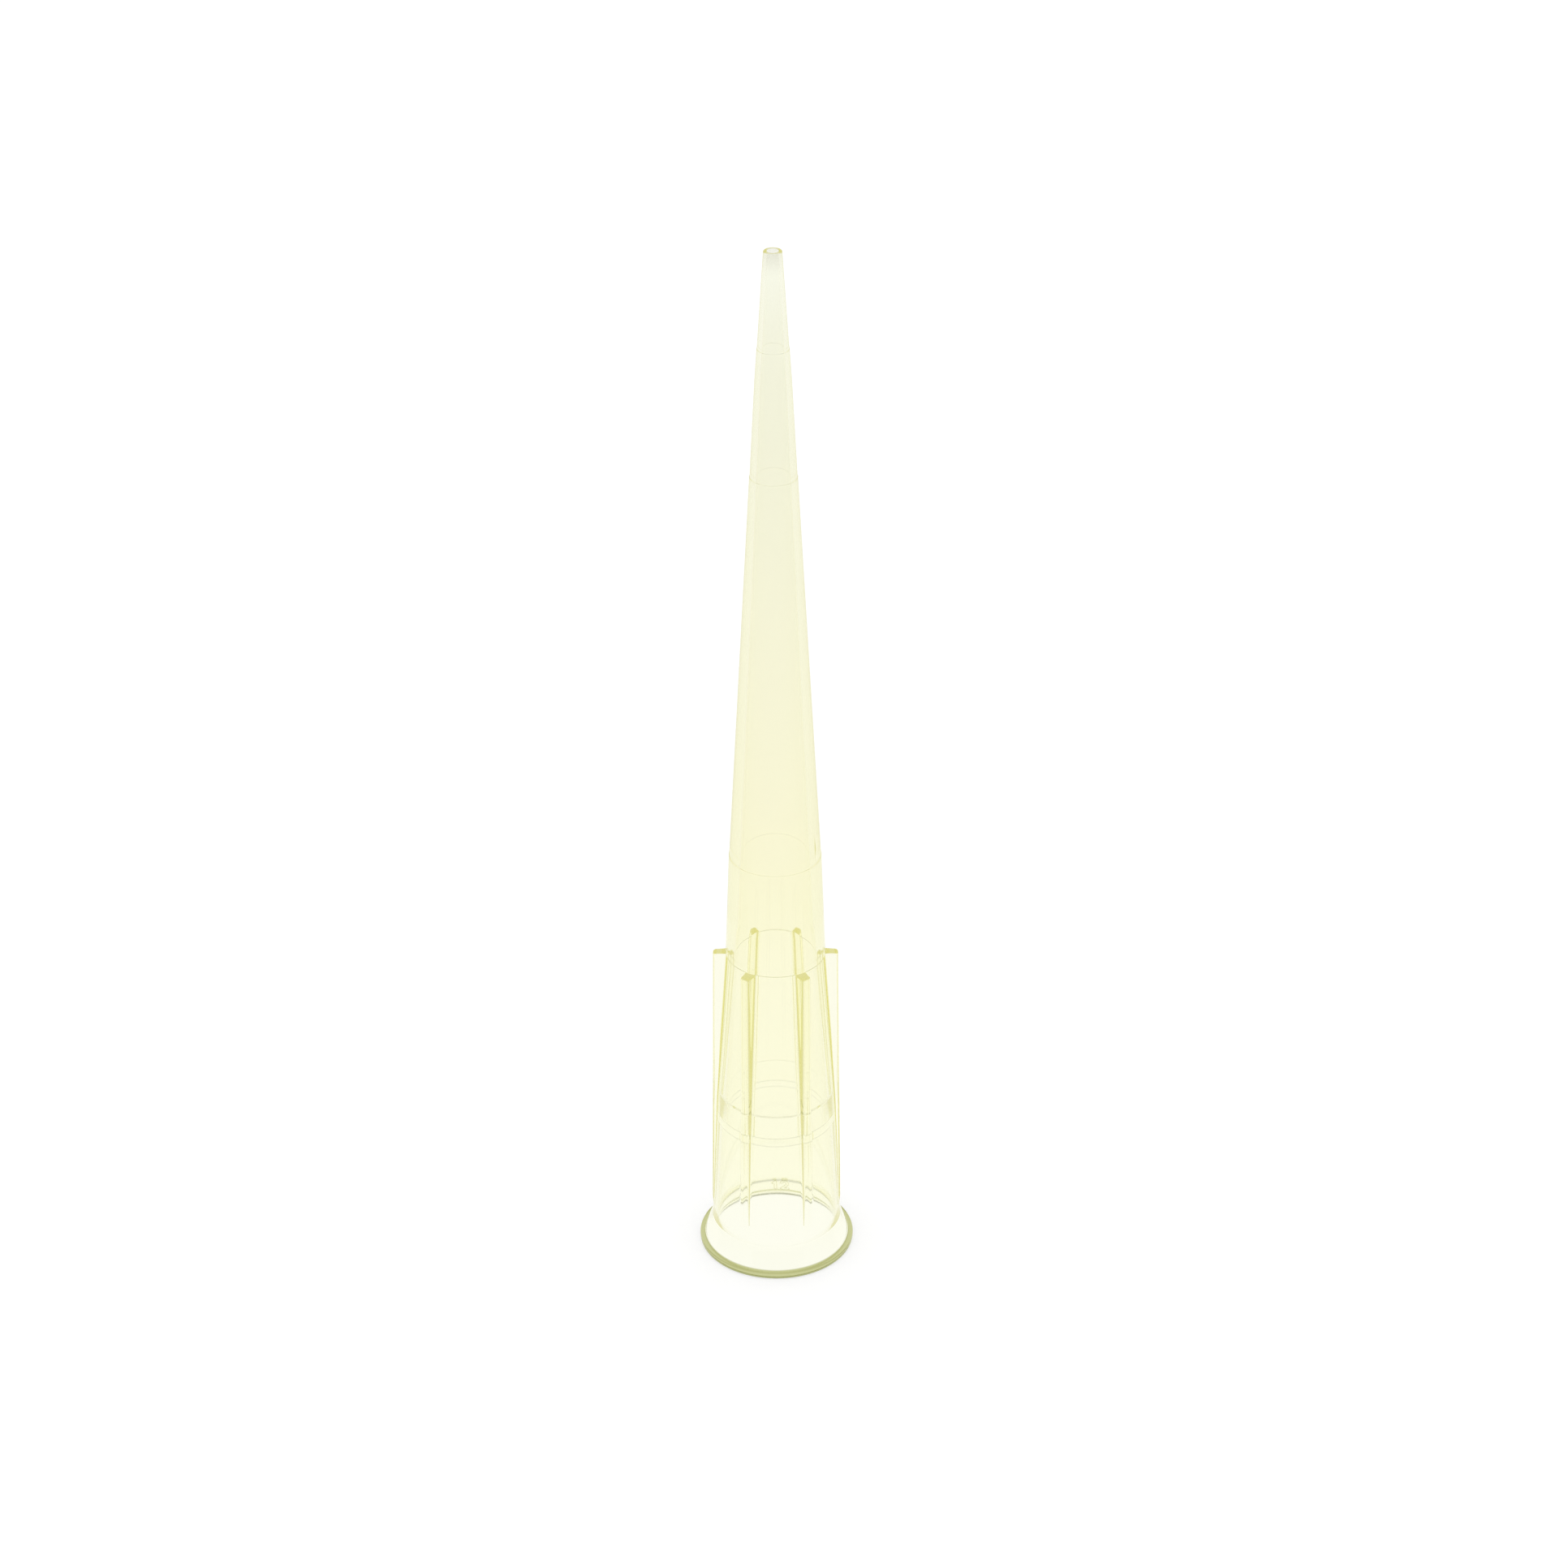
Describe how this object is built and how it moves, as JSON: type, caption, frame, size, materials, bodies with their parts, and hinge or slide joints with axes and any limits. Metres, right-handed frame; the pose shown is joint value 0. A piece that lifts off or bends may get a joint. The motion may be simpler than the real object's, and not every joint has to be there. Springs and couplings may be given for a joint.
{
  "type": "pipette tip",
  "caption": "Disposable pipette tip: a long tapered tube with a fine orifice, volume marks, and a ribbed hub with a flared mouth that seals on a pipette's shaft.",
  "frame": {"origin": "centre of the mouth's end face, which the tip stands on", "axes": "+Z along the tip's axis from the mouth to the point; +X through the crest of one rib"},
  "size_m": [0.0074, 0.0074, 0.051],
  "materials": {
    "tip_plastic": "gloss"
  },
  "bodies": {
    "root": {"pipette_tip": "tip_plastic"}
  },
  "joints": []
}
